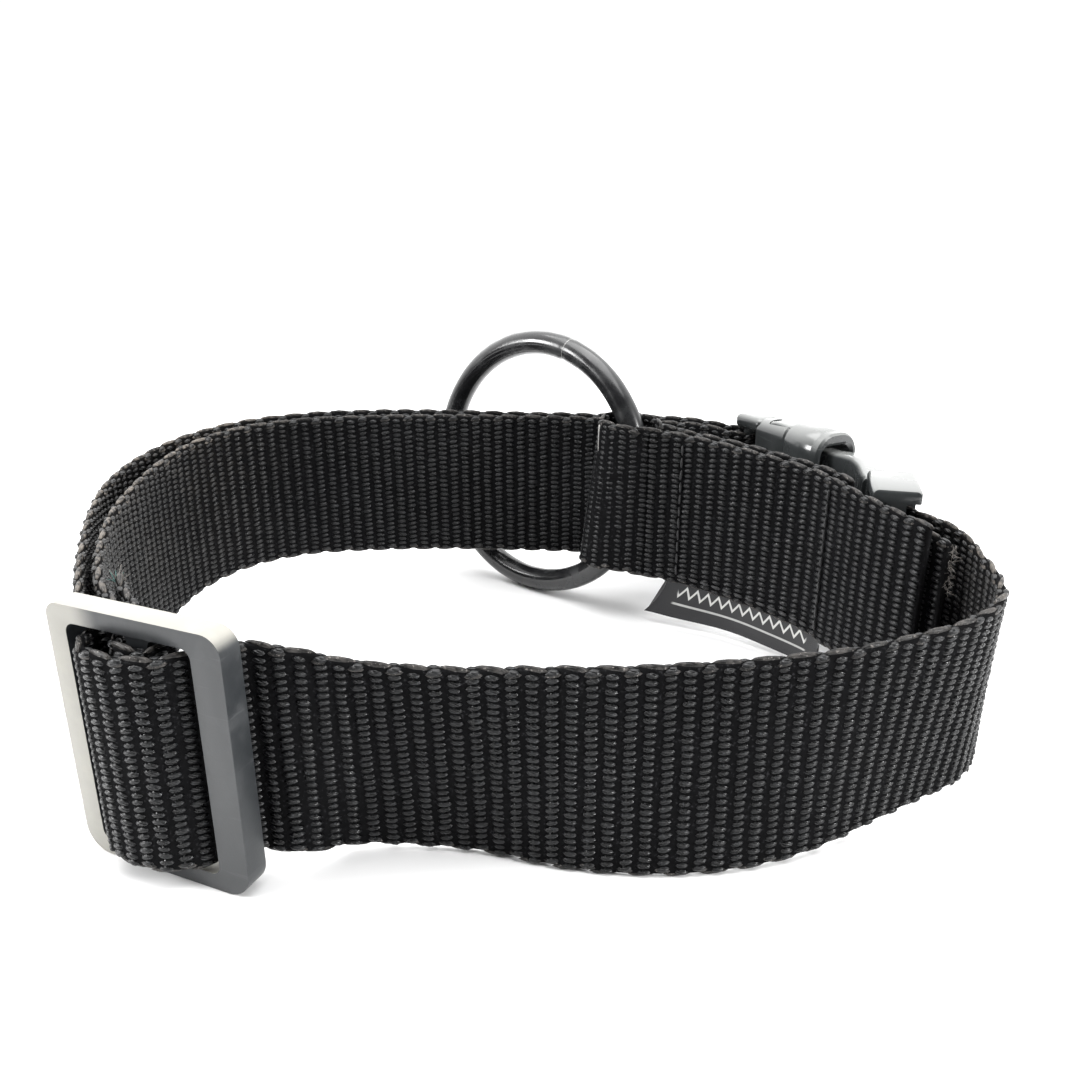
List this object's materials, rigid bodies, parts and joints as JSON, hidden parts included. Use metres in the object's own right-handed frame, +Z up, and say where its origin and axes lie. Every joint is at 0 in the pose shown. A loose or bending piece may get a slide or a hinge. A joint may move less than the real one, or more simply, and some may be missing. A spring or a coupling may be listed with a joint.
{
  "type": "adjustable webbing dog collar",
  "caption": "Adjustable flat webbing dog collar: a doubled strap loop with a triglide slider, a side-release buckle, and a leash ring held in a folded keeper strap.",
  "frame": {"origin": "middle of the footprint, on the table the collar stands on", "axes": "+X along the front of the loop from the slider towards the buckle side, +Y from the front of the loop to the back where the leash ring is, +Z up across the webbing's width"},
  "size_m": [0.1796, 0.149, 0.0687],
  "materials": {
    "black_nylon": "ribbed woven",
    "black_thread": "twisted thread",
    "black_acetal": "semi-gloss",
    "slider_plastic": "satin",
    "black_steel": "gloss black",
    "black_satin_tape": "satin"
  },
  "bodies": {
    "collar": {"strap_tail_at_slider": "black_nylon", "strap_loop_at_slider": "black_nylon", "strap_inner_run": "black_nylon", "strap_loop_at_socket": "black_nylon", "strap_outer_run": "black_nylon", "strap_over_slider": "black_nylon", "strap_front": "black_nylon", "strap_right_bend": "black_nylon", "keeper_inner_run": "black_nylon", "keeper_fold": "black_nylon", "keeper_outer_ply": "black_nylon", "label": "black_satin_tape", "keeper_stitches_left": "black_thread", "keeper_stitches_right": "black_thread", "label_stitches": "black_thread", "tail_stitches_at_slider": "black_thread", "buckle_socket": "black_acetal"},
    "ring": {"leash_ring": "black_steel"},
    "slider": {"slider": "slider_plastic"},
    "plug": {"buckle_plug_base": "black_acetal", "plug_guide_tongue": "black_acetal", "strap_loop_at_plug": "black_nylon", "tail_stitches_at_plug": "black_thread"},
    "lower_prong": {"prong_lower": "black_acetal", "barb_lower": "black_acetal"},
    "upper_prong": {"prong_upper": "black_acetal", "barb_upper": "black_acetal"}
  },
  "joints": [
    {"name": "ring_swing", "type": "hinge", "parent": "collar", "child": "ring", "pos_m": [0.02939, 0.03216, 0.03434], "axis": [0, 0, -1], "range_deg": [0, 40], "deforming": ["keeper_fold"]},
    {"name": "slider_adjust", "type": "slide", "parent": "collar", "child": "slider", "axis": [0.9191, -0.3939, 0], "range_m": [-0.006, 0.006], "deforming": ["strap_over_slider", "strap_loop_at_slider"]},
    {"name": "buckle_release", "type": "slide", "parent": "collar", "child": "plug", "axis": [0.473, -0.881, 0], "range_m": [0, 0.022], "deforming": ["strap_right_bend", "barb_lower", "barb_upper"]},
    {"name": "prong_lower_squeeze", "type": "hinge", "parent": "plug", "child": "lower_prong", "pos_m": [0.07781, 0.00297, 0.0051], "axis": [0.881, 0.473, 0], "range_deg": [0, 3.2], "stiffness_Nm_per_rad": 0.05},
    {"name": "prong_upper_squeeze", "type": "hinge", "parent": "plug", "child": "upper_prong", "pos_m": [0.07781, 0.00297, 0.0425], "axis": [-0.881, -0.473, 0], "range_deg": [0, 3.2], "stiffness_Nm_per_rad": 0.05, "springref_deg": -1.15}
  ]
}
